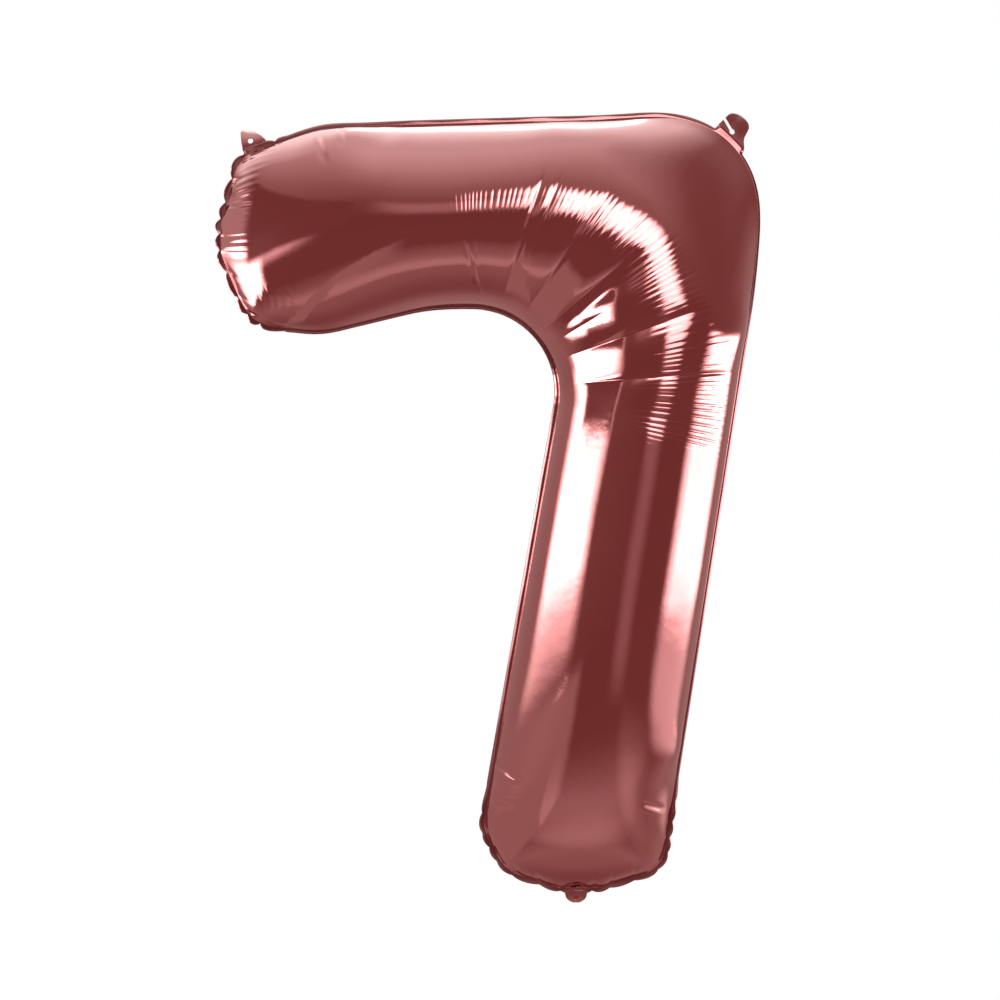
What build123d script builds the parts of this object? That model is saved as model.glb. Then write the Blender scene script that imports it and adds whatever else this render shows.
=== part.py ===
from build123d import *

import os
from math import cos, radians, sin

# Inflated foil number balloon: the digit seven, about 866 mm tall from seam edge to seam edge.
# Millimetres.  +Z is up, the front faces -Y, and the welded seam lies in the plane y = 0.
# The origin is the ribbon's tie point, at the root of the filling neck on the neck's centre line.
# The real film is about 0.04 mm thick.  The solids here are thicker, so that they can be meshed.

# Film thicknesses
PANEL_WALL = 1.0
SEAM_THICK = 1.0
TAB_THICK = 1.0
NECK_PLY = 0.5
NECK_GAP = 0.6
VALVE_PLY = 0.4
VALVE_LAYER = 0.1  # the sealed strips and the printed layer on the valve's rear film

# Outer edge of the welded seam, clockwise from the top of the arm's free end: x, z, corner radius
OUTLINE = [
    (-377.0, 821.0, 11.0),
    (-286.0, 855.0, 130.0),
    (204.0, 869.0, 105.0),
    (207.0, 705.0, 500.0),
    (100.0, 23.0, 38.0),
    (2.0, -6.5, 122.0),
    (-82.0, 21.0, 48.0),
    (-109.0, 70.0, 40.0),
    (-6.5, 652.0, 91.0),
    (-168.0, 645.0, 110.0),
    (-284.0, 617.0, 130.0),
    (-366.0, 628.0, 52.0),
    (-405.0, 722.0, 75.0),
]
SEAM_MARGIN = 5.0  # flat weld that stands out past the inflated tube
SEAM_INSIDE = 1.5  # weld that reaches in past the rim of each panel

# Inflated tube
HALF_DEPTH = 101.0  # the tube's deepest point, measured from the seam plane
ROUNDNESS = 0.96  # depth over half the width, where the tube is narrow
CAP_LENGTH = 95.0  # from an end of the tube to where it has its full depth
CAP_POWER = 0.7  # 0.5 would be an elliptical end, and more is more pointed
ARM_END = -395.7  # x of the tube's free end
LEG_END = 4.4  # z of the tube's foot

# Cuts across the tube, from the free end to the foot, for the panel's loft
BEND_CENTRE = (-117.0, 557.0)
RAY_LENGTH = 450.0
ARM_CUTS = (1.5, 4, 10, 20, 36, 58, 84, 115, 150, 190, 235)  # distances from the free end
BEND_CUTS = (90, 81, 72, 63, 54, 45, 36, 27, 18, 9, 0, -10)  # angles about the bend's centre
LEG_TILT = 10.0
LEG_CUTS = [  # z where the cut meets the leg's inside line, and the cut's angle
    (500, -10.0), (430, -10.0), (360, -10.0), (290, -10.0), (230, -10.0), (185, -10.0),
    (145, -8.5), (110, -6.0), (80, -4.0), (55, -2.2), (36, -1.0), (24, 0.0),
    (14.4, 0.0), (8.4, 0.0), (5.9, 0.0),
]

# Hanging tabs: local x runs along the fold, and local y points away from the balloon
FOLD_CLEARANCE = 0.3  # from a folding piece, at any angle, to the seam it folds from
LEFT_CUT = 32.0  # how wide the seam is cut at each fold, a little wider than the piece's root
RIGHT_CUT = 44.0
NECK_CUT = 24.0
CUT_DEPTH = 8.0  # from the fold outward, past the seam's edge
LEFT_FOLD = Plane(origin=(-356.8, 0, 829.5), x_dir=(0.937, 0, 0.350), z_dir=(0, -1, 0))
LEFT_TAB = [
    (-14.5, 0.0, 1.0), (-11.5, 14.0, 8.0), (-9.0, 27.0, 4.5),
    (1.5, 26.0, 6.0), (9.0, 13.0, 8.0), (14.5, 0.0, 1.0),
]
LEFT_HOLE = (-2.5, 7.0)
RIGHT_FOLD = Plane(origin=(173.6, 0, 837.6), x_dir=(1, 0, -1), z_dir=(0, -1, 0))
RIGHT_TAB = [
    (-22.0, 0.0, 1.0), (-22.0, 33.0, 14.0), (3.5, 31.5, 12.0),
    (9.5, 9.0, 14.0), (19.0, 0.0, 1.0),
]
RIGHT_HOLE = (-5.5, 5.5)
SLIT_WIDTH = 3.6
SLIT_LENGTH = 24.0
SLIT_ANGLE = 162.0
HOLE_RADIUS = 3.0

# Filling neck
NECK_FOLD = Plane(origin=(0, 0, 0), x_dir=(-1, 0, 0), z_dir=(0, -1, 0))
NECK = [(-11.0, 0.0, 0.5), (-9.5, 10.5, 6.5), (9.5, 10.5, 6.5), (11.0, 0.0, 0.5)]
NECK_THICK = 2 * NECK_PLY + NECK_GAP
CHANNEL_WIDTH = 14.0
CHANNEL_LENGTH = 7.5
PORT_RADIUS = 3.0
PORT_DISTANCE = 4.4  # from the fold to the inlet's centre

# Self-sealing valve, inside the leg above the neck
VALVE_WIDTH = 14.0
VALVE_FOOT = 1.3
VALVE_TOP = 130.0
LIP_HINGE = 8.5  # the front film is free above this height
PASSAGE_WIDTH = 14.6  # gap in the seam that the valve passes through
PASSAGE_HEIGHT = 30.0  # more than the seam's width, so that the gap goes right through
STRIP_WIDTH = 2.0
STRIP_TOP = 104.0
PRINT_WIDTH = 8.0
PRINT_TOP = 62.0


def plate(corners):
    """A flat shape from its corners, each given as x, y and the radius it is rounded to."""
    with BuildSketch() as flat:
        with BuildLine():
            points = [(x, y) for x, y, radius in corners]
            FilletPolyline(*points, radius=[radius for x, y, radius in corners], close=True)
        make_face()
    return flat.sketch


def digit(inset):
    """The whole digit moved inwards, as a flat shape whose y is the balloon's z."""
    with BuildSketch() as flat:
        add(plate(OUTLINE))
        offset(amount=-inset, kind=Kind.INTERSECTION, mode=Mode.REPLACE)
    return flat.sketch


def cuts():
    """Every cut across the tube, as the x and z it starts from and its angle."""
    centre_x, centre_z = BEND_CENTRE
    found = [(ARM_END + distance, centre_z, 90.0) for distance in ARM_CUTS]
    found += [(centre_x, centre_z, float(angle)) for angle in BEND_CUTS]
    for z, angle in LEG_CUTS:
        inside_x = centre_x - (centre_z - z) * sin(radians(LEG_TILT)) / cos(radians(LEG_TILT))
        found.append((inside_x, z, angle))
    return found


def half_tube(inset):
    """Half-lens sections of the front of the tube, all moved inwards."""
    outline = digit(SEAM_MARGIN + inset)
    sections = []
    for x, z, angle in cuts():
        run, rise = cos(radians(angle)), sin(radians(angle))
        ray = Edge.make_line((x, z), (x + RAY_LENGTH * run, z + RAY_LENGTH * rise))
        chord = ray.intersect(outline.face())
        middle = chord.edges()[0].center()
        half_width = chord.edges()[0].length / 2
        from_end = min(middle.X - ARM_END, middle.Y - LEG_END)
        if from_end < 2 * inset:
            continue
        shallow = max(0.0, 1.0 - from_end / CAP_LENGTH)
        depth = min(HALF_DEPTH * (1.0 - shallow**2) ** CAP_POWER, ROUNDNESS * half_width)
        across = Vector(run, 0, rise)
        plane = Plane(
            origin=(middle.X, -SEAM_THICK / 2, middle.Y),
            x_dir=across,
            z_dir=across.cross(Vector(0, -1, 0)),
        )
        with BuildSketch(plane) as section:
            with BuildLine():
                EllipticalCenterArc((0, 0), half_width, depth - inset, 0, arc_size=180)
                Line((-half_width, 0), (half_width, 0))
            make_face()
        sections.append(section.sketch)
    return sections


os.makedirs("parts", exist_ok=True)

# Front panel: the inflated film, hollowed by the same tube one wall smaller
with BuildPart() as front_panel:
    loft(sections=half_tube(0.0))
    loft(sections=half_tube(PANEL_WALL), mode=Mode.SUBTRACT)
front_panel.part.label = "front_panel"
export_step(front_panel.part, "parts/front_panel.step")

# Back panel: cut to the same pattern, mirrored in the seam plane
with BuildPart() as back_panel:
    mirror(front_panel.part, about=Plane.XZ)
back_panel.part.label = "back_panel"
export_step(back_panel.part, "parts/back_panel.step")

# Perimeter seam: the two films welded flat together, cut straight at each fold and open at the
# neck, where the valve passes through
with BuildPart() as perimeter_seam:
    with BuildSketch(Plane.XZ.offset(-SEAM_THICK / 2)):
        add(plate(OUTLINE))
        add(digit(SEAM_MARGIN + PANEL_WALL + SEAM_INSIDE), mode=Mode.SUBTRACT)
        Rectangle(PASSAGE_WIDTH, PASSAGE_HEIGHT, mode=Mode.SUBTRACT)
    extrude(amount=SEAM_THICK)
    for fold, width, thick in (
        (LEFT_FOLD, LEFT_CUT, TAB_THICK),
        (RIGHT_FOLD, RIGHT_CUT, TAB_THICK),
        (NECK_FOLD, NECK_CUT, NECK_THICK),
    ):
        with BuildSketch(fold.offset(-SEAM_THICK)):
            with Locations((0, -thick / 2 - FOLD_CLEARANCE)):
                Rectangle(width, CUT_DEPTH, align=(Align.CENTER, Align.MIN))
        extrude(amount=2 * SEAM_THICK, mode=Mode.SUBTRACT)
perimeter_seam.part.label = "perimeter_seam"
export_step(perimeter_seam.part, "parts/perimeter_seam.step")

# Left hanging tab: both films welded together, punched with a round hole
with BuildPart() as left_hanging_tab:
    with BuildSketch(LEFT_FOLD.offset(-TAB_THICK / 2)):
        add(plate(LEFT_TAB))
        with Locations(LEFT_HOLE):
            Circle(HOLE_RADIUS, mode=Mode.SUBTRACT)
    extrude(amount=TAB_THICK)
left_hanging_tab.part.label = "left_hanging_tab"
export_step(left_hanging_tab.part, "parts/left_hanging_tab.step")

# Right hanging tab: a keyhole, whose slit lets a thread in from the side
with BuildPart() as right_hanging_tab:
    with BuildSketch(RIGHT_FOLD.offset(-TAB_THICK / 2)):
        add(plate(RIGHT_TAB))
        with Locations(RIGHT_HOLE):
            Circle(HOLE_RADIUS, mode=Mode.SUBTRACT)
        with Locations(Location(RIGHT_HOLE, SLIT_ANGLE)):
            Rectangle(
                SLIT_LENGTH, SLIT_WIDTH, align=(Align.MIN, Align.CENTER), mode=Mode.SUBTRACT
            )
    extrude(amount=TAB_THICK)
right_hanging_tab.part.label = "right_hanging_tab"
export_step(right_hanging_tab.part, "parts/right_hanging_tab.step")

# Filling neck: the front ply carries the inlet, and the back ply is plain
with BuildPart() as neck_front_ply:
    with BuildSketch(NECK_FOLD.offset(NECK_GAP / 2)):
        add(plate(NECK))
        with Locations((0, PORT_DISTANCE)):
            Circle(PORT_RADIUS, mode=Mode.SUBTRACT)
    extrude(amount=NECK_PLY)
neck_front_ply.part.label = "neck_front_ply"
export_step(neck_front_ply.part, "parts/neck_front_ply.step")

with BuildPart() as neck_back_ply:
    with BuildSketch(NECK_FOLD.offset(-NECK_GAP / 2 - NECK_PLY)):
        add(plate(NECK))
    extrude(amount=NECK_PLY)
neck_back_ply.part.label = "neck_back_ply"
export_step(neck_back_ply.part, "parts/neck_back_ply.step")

# Neck weld: a U round the neck's edge that joins its two plies and leaves the root open
with BuildPart() as neck_weld:
    with BuildSketch(NECK_FOLD.offset(-NECK_GAP / 2)):
        add(plate(NECK))
        Rectangle(
            CHANNEL_WIDTH, CHANNEL_LENGTH, align=(Align.CENTER, Align.MIN), mode=Mode.SUBTRACT
        )
    extrude(amount=NECK_GAP)
neck_weld.part.label = "neck_weld"
export_step(neck_weld.part, "parts/neck_weld.step")

# Valve films: the rear one is whole, and the front one is free above its hinge line
with BuildPart() as valve_rear_film:
    with BuildSketch(Plane.XZ.offset(-SEAM_THICK / 2)):
        with Locations((0, VALVE_FOOT)):
            Rectangle(VALVE_WIDTH, VALVE_TOP - VALVE_FOOT, align=(Align.CENTER, Align.MIN))
    extrude(amount=VALVE_PLY)
valve_rear_film.part.label = "valve_rear_film"
export_step(valve_rear_film.part, "parts/valve_rear_film.step")

with BuildPart() as valve_front_film:
    with BuildSketch(Plane.XZ.offset(VALVE_LAYER)):
        with Locations((0, LIP_HINGE)):
            Rectangle(VALVE_WIDTH, VALVE_TOP - LIP_HINGE, align=(Align.CENTER, Align.MIN))
    extrude(amount=VALVE_PLY)
valve_front_film.part.label = "valve_front_film"
export_step(valve_front_film.part, "parts/valve_front_film.step")

# Valve tack: the foot of the front film, welded to the front panel inside the seam
with BuildPart() as valve_tack:
    with BuildSketch(Plane.XZ.offset(VALVE_LAYER)):
        with Locations((0, VALVE_FOOT)):
            tack_height = LIP_HINGE - FOLD_CLEARANCE - VALVE_FOOT
            Rectangle(VALVE_WIDTH, tack_height, align=(Align.CENTER, Align.MIN))
    extrude(amount=VALVE_PLY)
valve_tack.part.label = "valve_tack"
export_step(valve_tack.part, "parts/valve_tack.step")

# Valve edge strips: the sealed edges of the channel, laid on the rear film
with BuildPart() as valve_left_strip:
    with BuildSketch(Plane.XZ.offset(-VALVE_LAYER)):
        with Locations((-VALVE_WIDTH / 2, VALVE_FOOT)):
            Rectangle(STRIP_WIDTH, STRIP_TOP - VALVE_FOOT, align=Align.MIN)
    extrude(amount=VALVE_LAYER)
valve_left_strip.part.label = "valve_left_strip"
export_step(valve_left_strip.part, "parts/valve_left_strip.step")

with BuildPart() as valve_right_strip:
    mirror(valve_left_strip.part, about=Plane.YZ)
valve_right_strip.part.label = "valve_right_strip"
export_step(valve_right_strip.part, "parts/valve_right_strip.step")

# Release print: the heat-proof ink that keeps the channel from being welded shut
with BuildPart() as valve_release_print:
    with BuildSketch(Plane.XZ.offset(-VALVE_LAYER)):
        with Locations((0, VALVE_FOOT)):
            Rectangle(PRINT_WIDTH, PRINT_TOP - VALVE_FOOT, align=(Align.CENTER, Align.MIN))
    extrude(amount=VALVE_LAYER)
valve_release_print.part.label = "valve_release_print"
export_step(valve_release_print.part, "parts/valve_release_print.step")
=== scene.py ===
from math import cos, pi, radians, sin

import bpy
import numpy as np
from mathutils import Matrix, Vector
from mathutils.geometry import delaunay_2d_cdt


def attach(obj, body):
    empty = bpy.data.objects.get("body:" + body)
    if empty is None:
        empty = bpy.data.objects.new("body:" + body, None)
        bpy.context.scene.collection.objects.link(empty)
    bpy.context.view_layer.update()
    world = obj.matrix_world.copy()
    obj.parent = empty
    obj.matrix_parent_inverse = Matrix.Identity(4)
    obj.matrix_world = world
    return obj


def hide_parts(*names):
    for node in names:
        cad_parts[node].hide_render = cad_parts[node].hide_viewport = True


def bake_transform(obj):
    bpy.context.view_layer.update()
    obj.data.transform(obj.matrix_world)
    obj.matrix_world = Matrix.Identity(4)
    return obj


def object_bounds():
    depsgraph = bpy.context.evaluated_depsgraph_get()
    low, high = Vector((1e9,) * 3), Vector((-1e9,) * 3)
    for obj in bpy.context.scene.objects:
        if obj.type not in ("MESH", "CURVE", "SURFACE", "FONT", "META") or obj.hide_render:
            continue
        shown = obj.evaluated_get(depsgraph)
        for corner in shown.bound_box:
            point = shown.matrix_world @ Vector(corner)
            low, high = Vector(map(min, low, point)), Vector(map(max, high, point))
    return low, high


# Foil number balloon, digit seven. Metres; the front is -Y, up is +Z, and the seam lies in y = 0.
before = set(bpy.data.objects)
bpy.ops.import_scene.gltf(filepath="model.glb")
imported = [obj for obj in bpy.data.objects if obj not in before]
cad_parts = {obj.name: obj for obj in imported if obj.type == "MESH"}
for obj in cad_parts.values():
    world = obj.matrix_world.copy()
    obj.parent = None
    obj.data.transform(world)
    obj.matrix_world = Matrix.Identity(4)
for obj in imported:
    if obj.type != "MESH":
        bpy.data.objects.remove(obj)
cad_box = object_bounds()

# ---- driving dimensions

BEND = np.array((-0.117, 0.557))  # x and z of the centre that the bend's ribs turn round
RIB_RADIUS = 0.200  # ribs are evenly spaced at this radius
ARM_START = -0.350  # x of the arm's first rib
FOOT_START = 0.048  # z of the leg's last rib
LEG_TILT = radians(10)
TILT_ENDS = 0.170  # over this length the ribs turn level towards the foot
END_FADE = 0.16  # share of the ribs over which the grid takes the ends' round outline

SEAM_WIDTH = 0.0048
FILM = 0.0003  # thickness of two welded films

RIM_POINTS = 2000
START_DEPTH = 0.005  # how far forward the flat film starts
LEVELS = (  # ribs, points across, steps, push per step
    (61, 13, 500, 5e-5),
    (121, 25, 500, 3e-5),
    (241, 49, 500, 1.5e-5),
)
FINE_ACROSS = 121


# ---- outlines and grids


def even_loop(points, count):
    """A closed outline with its points spaced evenly."""
    closed = np.vstack([points, points[:1]])
    lengths = np.r_[0, np.cumsum(np.linalg.norm(np.diff(closed, axis=0), axis=1))]
    where = np.linspace(0, lengths[-1], count, endpoint=False)
    return np.stack([np.interp(where, lengths, closed[:, k]) for k in range(2)], -1)


def signed_area(loop):
    after = np.roll(loop, -1, axis=0)
    return 0.5 * np.sum(loop[:, 0] * after[:, 1] - after[:, 0] * loop[:, 1])


def flat_loops(node):
    """The outlines of a CAD film's rearmost flat faces, in x and z."""
    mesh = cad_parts[node].data
    places = np.round([v.co for v in mesh.vertices], 6)
    level = places[:, 1].max()
    uses = {}
    for face in mesh.polygons:
        corners = [tuple(places[v]) for v in face.vertices]
        if all(corner[1] == level for corner in corners):
            for a, b in zip(corners, corners[1:] + corners[:1]):
                key = tuple(sorted((a, b)))
                uses[key] = uses.get(key, 0) + 1
    neighbours = {}
    for (a, b), count in uses.items():
        if count == 1:
            neighbours.setdefault(a, []).append(b)
            neighbours.setdefault(b, []).append(a)
    loops = []
    while neighbours:
        here = next(iter(neighbours))
        loop = []
        while here is not None:
            loop.append((here[0], here[2]))
            around = neighbours.pop(here)
            here = next((p for p in around if p in neighbours), None)
        loops.append(np.array(loop))
    return loops


def rim_outline(node):
    """The outer edge of a panel's flat rim, evenly spaced and clockwise."""
    loop = max(flat_loops(node), key=lambda points: abs(signed_area(points)))
    loop = even_loop(loop, RIM_POINTS)
    return loop if signed_area(loop) < 0 else loop[::-1]


def outward(loop, reach=4):
    """Unit normals of a clockwise outline, pointing out of it."""
    along = np.roll(loop, -reach, axis=0) - np.roll(loop, reach, axis=0)
    along /= np.linalg.norm(along, axis=1, keepdims=True)
    return np.stack([-along[:, 1], along[:, 0]], -1)


def smoothed_loop(values, times):
    for _ in range(times):
        values = 0.5 * values + 0.25 * (np.roll(values, 1, 0) + np.roll(values, -1, 0))
    return values


def rib_rays(positions):
    """Origin and angle of the ribs at shares of the way from arm to foot."""
    arm = BEND[0] - ARM_START
    turn = (pi / 2 + LEG_TILT) * RIB_RADIUS
    leg = (BEND[1] - FOOT_START) / cos(LEG_TILT)
    total = arm + turn + leg
    origins, angles = [], []
    for place in np.asarray(positions) * total:
        if place < arm:
            origins.append((ARM_START + place, BEND[1]))
            angles.append(pi / 2)
        elif place < arm + turn:
            origins.append(BEND)
            angles.append(pi / 2 - (place - arm) / RIB_RADIUS)
        else:
            down = place - arm - turn
            origins.append(BEND - down * np.array((sin(LEG_TILT), cos(LEG_TILT))))
            angles.append(-LEG_TILT * min(1.0, (total - place) / TILT_ENDS))
    return origins, angles


def crossings(loop, origin, angle):
    """Positions along the outline where a ray first enters and last leaves it."""
    ray = np.array((cos(angle), sin(angle)))
    side = (loop - origin) @ np.array((-ray[1], ray[0]))
    along = (loop - origin) @ ray
    side_after, along_after = np.roll(side, -1), np.roll(along, -1)
    hits = np.where((side * side_after <= 0) & (side != side_after))[0]
    part = side[hits] / (side[hits] - side_after[hits])
    reach = along[hits] + part * (along_after[hits] - along[hits])
    hits, part, reach = hits[reach > 0], part[reach > 0], reach[reach > 0]
    near, far = reach.argmin(), reach.argmax()
    return hits[near] + part[near], hits[far] + part[far]


def on_loop(loop, positions):
    """Points of an outline at fractional positions."""
    positions = np.asarray(positions) % len(loop)
    before = np.floor(positions).astype(int)
    part = (positions - before)[..., None]
    return loop[before % len(loop)] * (1 - part) + loop[(before + 1) % len(loop)] * part


class Weave:
    """Which place on the outline each edge point of a ribs-by-across grid belongs to."""

    def __init__(self, rim, positions, across):
        pairs = [crossings(rim, *ray) for ray in zip(*rib_rays(positions))]
        self.inner, self.outer = np.array(pairs).T
        self.shares = np.asarray(positions)
        self.across = across
        self.around = len(rim)
        self.arm_end = self.run(self.inner[0], self.outer[0], 1)
        self.foot_end = self.run(self.inner[-1], self.outer[-1], -1)

    def run(self, start, stop, way):
        if (stop - start) * way < 0:
            stop += way * self.around
        return np.linspace(start, stop, self.across)

    def grid(self, loop):
        """The grid laid flat inside an outline: straight ribs that round off at both ends."""
        start, stop = on_loop(loop, self.inner)[:, None], on_loop(loop, self.outer)[:, None]
        t = np.linspace(0, 1, self.across)[None, :, None]
        grid = start * (1 - t) + stop * t
        for end, run, share in (
            (0, self.arm_end, self.shares),
            (-1, self.foot_end, 1 - self.shares),
        ):
            fade = np.clip(1 - share / END_FADE, 0, 1)[:, None, None] ** 2
            grid = grid + fade * (on_loop(loop, run) - grid[end])[None]
        return grid

    def seam(self, points):
        """The grid's edge as x and z at every point of the outline."""
        places = np.r_[self.inner, self.outer, self.arm_end, self.foot_end] % self.around
        edge = np.vstack([points[:, 0], points[:, -1], points[0], points[-1]])[:, [0, 2]]
        order = np.argsort(places)
        every = np.arange(self.around)
        lines = [
            np.interp(every, places[order], edge[order, k], period=self.around) for k in range(2)
        ]
        return np.stack(lines, -1)


def standing(flat, y=0.0):
    """A flat x and z grid as points in space, with its inside at y."""
    points = np.zeros(flat.shape[:2] + (3,))
    points[..., 0] = flat[..., 0]
    points[..., 2] = flat[..., 1]
    points[1:-1, 1:-1, 1] = y
    return points


def spline_rows(grid, where):
    """The grid's rows at fractional positions, on a Catmull-Rom spline."""
    last = len(grid) - 1
    base = np.clip(where.astype(int), 0, last - 1)
    t = (where - base).reshape(-1, 1, 1)
    p0, p1 = grid[np.maximum(base - 1, 0)], grid[base]
    p2, p3 = grid[base + 1], grid[np.minimum(base + 2, last)]
    curve = 2 * p1 + (p2 - p0) * t + (2 * p0 - 5 * p1 + 4 * p2 - p3) * t**2
    return 0.5 * (curve + (3 * p1 - p0 - 3 * p2 + p3) * t**3)


def resampled(grid, rows, across):
    """The grid at the given shares of its rows, and evenly across."""
    grid = spline_rows(grid, np.asarray(rows) * (len(grid) - 1))
    columns = np.linspace(0, grid.shape[1] - 1, across)
    return spline_rows(grid.swapaxes(0, 1), columns).swapaxes(0, 1)


def rise(value, start, length):
    """0 up to start, and 1 from a length beyond it."""
    return np.clip((value - start) / length, 0, 1)


def bump_window(x, low, high, soft):
    """1 between low and high, falling to 0 over soft on either side."""
    up = np.clip((x - low) / soft + 0.5, 0, 1)
    down = np.clip((high - x) / soft + 0.5, 0, 1)
    both = up * down
    return both * both * (3 - 2 * both)


# ---- inflation


def links(flat, step, stretch, squeeze):
    """Links from each point to the one a step away, in groups where no point is used twice."""
    axis = 0 if step[0] else 1
    groups = []
    for first in range(2 * step[axis]):
        near = [
            slice(0, flat.shape[0] - step[0], 1),
            slice(max(0, -step[1]), flat.shape[1] - max(0, step[1]), 1),
        ]
        run = near[axis]
        near[axis] = slice(run.start + first, run.stop, 2 * step[axis])
        far = tuple(slice(r.start + d, r.stop + d, r.step) for r, d in zip(near, step))
        near = tuple(near)
        rest = np.linalg.norm(flat[far] - flat[near], axis=-1)
        groups.append((near, far, rest, stretch, squeeze))
    return groups


CELL_CORNERS = [
    (a, b) for a in (slice(0, -1), slice(1, None)) for b in (slice(0, -1), slice(1, None))
]
EDGES = ((0, slice(None)), (-1, slice(None)), (slice(None), 0), (slice(None), -1))
DAMPING = 0.97


def point_areas(flat):
    """The area of flat film that each point stands for."""
    rising, falling = flat[1:, 1:] - flat[:-1, :-1], flat[:-1, 1:] - flat[1:, :-1]
    cells = np.abs(rising[..., 0] * falling[..., 1] - rising[..., 1] * falling[..., 0]) / 8
    areas = np.zeros(flat.shape[:2])
    for corner in CELL_CORNERS:
        areas[corner] += cells
    return np.maximum(areas, 1e-9)


def gas_force(points):
    """The push of the gas on each point, square to the film."""
    rising, falling = points[1:, 1:] - points[:-1, :-1], points[:-1, 1:] - points[1:, :-1]
    pressure = np.cross(rising, falling) / 8
    force = np.zeros_like(points)
    for corner in CELL_CORNERS:
        force[corner] += pressure
    return force


def relax(points, groups):
    """Moves linked points towards the distance that they have in the flat film."""
    for near, far, rest, stretch, squeeze in groups:
        gap = points[far] - points[near]
        length = np.sqrt(np.einsum("ijk,ijk->ij", gap, gap)) + 1e-12
        excess = length - rest
        part = 0.5 * np.where(excess > 0, stretch, squeeze) * excess / length
        points[near] += part[..., None] * gap
        points[far] -= part[..., None] * gap


def inflate(points, flat, steps, push, squeeze, bending=0.0, pull=0.0, home=None):
    """Blows the front film forward: it may not stretch, resists squeezing a little, and its
    edge stays in the seam's plane, pulled towards home."""
    groups = []
    for step in ((1, 0), (0, 1), (1, 1), (1, -1)):
        groups += links(flat, step, 1.0, squeeze)
    if bending:
        for step in ((2, 0), (0, 2)):
            groups += links(flat, step, 0.0, bending)
    speed = np.zeros_like(points)
    reach = (push / point_areas(flat))[..., None]
    for _ in range(steps):
        before = points
        points = points + speed * DAMPING + gas_force(points) * reach
        relax(points, groups)
        for edge in EDGES:
            if pull:
                points[edge] += pull * (home[edge] - points[edge])
            points[edge][..., 1] = 0
        points[..., 1] = np.minimum(points[..., 1], 0)
        speed = points - before
    return points


def turned_onto(seam, rim, points):
    """Turns and moves points in the seam's plane, so that the seam lies best on the rim."""
    here, there = seam.mean(0), rim.mean(0)
    spread = (seam - here).T @ (rim - there)
    angle = np.arctan2(spread[0, 1] - spread[1, 0], spread[0, 0] + spread[1, 1])
    turn = np.array(((cos(angle), sin(angle)), (-sin(angle), cos(angle))))
    return (points - here) @ turn + there


PATTERN_ROUNDS = 8
PATTERN_START = 0.050  # how far outside the inflated seam the flat cut starts
PATTERN_GAIN = 0.7
PATTERN_SMOOTH = 150
COARSE_SQUEEZE = 0.3


def flat_pattern(rim):
    """The outline that the film is cut to, so that it inflates to the rim: it is inflated
    coarsely, and moved by what it misses, a few times over."""
    ribs, across, steps, push = LEVELS[0]
    weave = Weave(rim, np.linspace(0, 1, ribs), across)
    pattern = smoothed_loop(rim + outward(rim) * PATTERN_START, PATTERN_SMOOTH)
    for _ in range(PATTERN_ROUNDS):
        flat = weave.grid(pattern)
        points = inflate(standing(flat, -START_DEPTH), flat, steps, push, COARSE_SQUEEZE)
        seam = weave.seam(points)
        missed = rim - turned_onto(seam, rim, seam)
        pattern = pattern + PATTERN_GAIN * smoothed_loop(missed, PATTERN_SMOOTH)
    return pattern


NOISE = 0.0003
BENDING = 0.02
SEAM_PULL = 0.05


def inflated_front(rim, pattern):
    """The front film, inflated at finer and finer grids."""
    random = np.random.default_rng(3)
    points = None
    for level, (ribs, across, steps, push) in enumerate(LEVELS):
        shares = np.linspace(0, 1, ribs)
        weave = Weave(rim, shares, across)
        home = standing(weave.grid(rim))
        flat = weave.grid(pattern)
        if points is None:
            points = inflate(standing(flat, -START_DEPTH), flat, steps, push, COARSE_SQUEEZE)
            seam = weave.seam(points)
            points[..., [0, 2]] = turned_onto(seam, rim, points[..., [0, 2]])
            continue
        points = resampled(points, shares, across)
        points[1:-1, 1:-1, 1] -= NOISE * random.random((ribs - 2, across - 2))
        last = level == len(LEVELS) - 1
        squeeze, bending = (1.0, BENDING) if last else (COARSE_SQUEEZE, 0.0)
        points = inflate(points, flat, steps, push, squeeze, bending, SEAM_PULL, home)
    return points


def seated(points, home):
    """The grid moved so that its edge lies exactly on home's edge."""
    t = np.linspace(0, 1, points.shape[1])[None, :, None]
    share = np.linspace(0, 1, points.shape[0])
    gap = home - points
    move = gap[:, :1] * (1 - t) + gap[:, -1:] * t
    for end, away in ((0, share), (-1, 1 - share)):
        fade = np.clip(1 - away / END_FADE, 0, 1)[:, None, None] ** 2
        move = move + fade * (gap[end] - move[end])[None]
    return points + move


CALM_TIMES = 14
CALM_SHARE = 0.8  # of the way to the middle of a point's neighbours, each time
FINE_RIBS = 760
CREASED = (0.18, 0.62)  # share of the way where the fine ribs stand closer
CREASED_EXTRA = 1.5  # how many more of them there are, for each one elsewhere
CREASED_SOFT = 0.06


def calmed(points, times):
    """Irons the small wrinkles out and leaves the edge where it is."""
    for _ in range(times):
        around = points[2:, 1:-1] + points[:-2, 1:-1] + points[1:-1, 2:] + points[1:-1, :-2]
        points[1:-1, 1:-1] += CALM_SHARE * (around / 4 - points[1:-1, 1:-1])
    return points


def fine_shares():
    """Shares of the way from arm to foot for the fine ribs, closer together round the bend."""
    places = np.linspace(0, 1, 2001)
    density = 1 + CREASED_EXTRA * bump_window(places, *CREASED, CREASED_SOFT)
    reached = np.r_[0, np.cumsum(density)[:-1]]
    return np.interp(np.linspace(0, reached[-1], FINE_RIBS), reached, places)


# ---- meshes


def linked(name, data):
    piece = bpy.data.objects.new(name, data)
    bpy.context.scene.collection.objects.link(piece)
    return piece


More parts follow.
